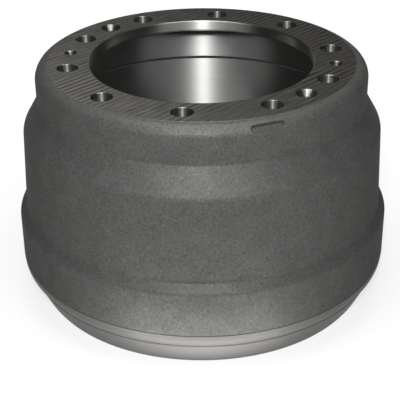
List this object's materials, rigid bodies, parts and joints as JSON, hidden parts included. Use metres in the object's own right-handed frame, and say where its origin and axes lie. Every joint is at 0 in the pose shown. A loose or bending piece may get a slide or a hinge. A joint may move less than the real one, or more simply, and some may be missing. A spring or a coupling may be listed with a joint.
{
  "type": "brake drum",
  "caption": "Deep cast-iron brake drum with a flat bolted flange and pilot bore, a sloping shoulder, a thick outer ring near the open rim and a turned friction surface inside.",
  "frame": {"origin": "centre of the open rim's plane, on the drum's axis", "axes": "+Z along the drum's axis, out through the mounting flange; +X through a jacking hole and +Y through a stud hole"},
  "size_m": [0.4811, 0.4812, 0.306],
  "materials": {
    "cast_iron": "as cast outside, turned friction surface, milled flange face"
  },
  "bodies": {
    "root": {"brake_drum": "cast_iron"}
  },
  "joints": []
}
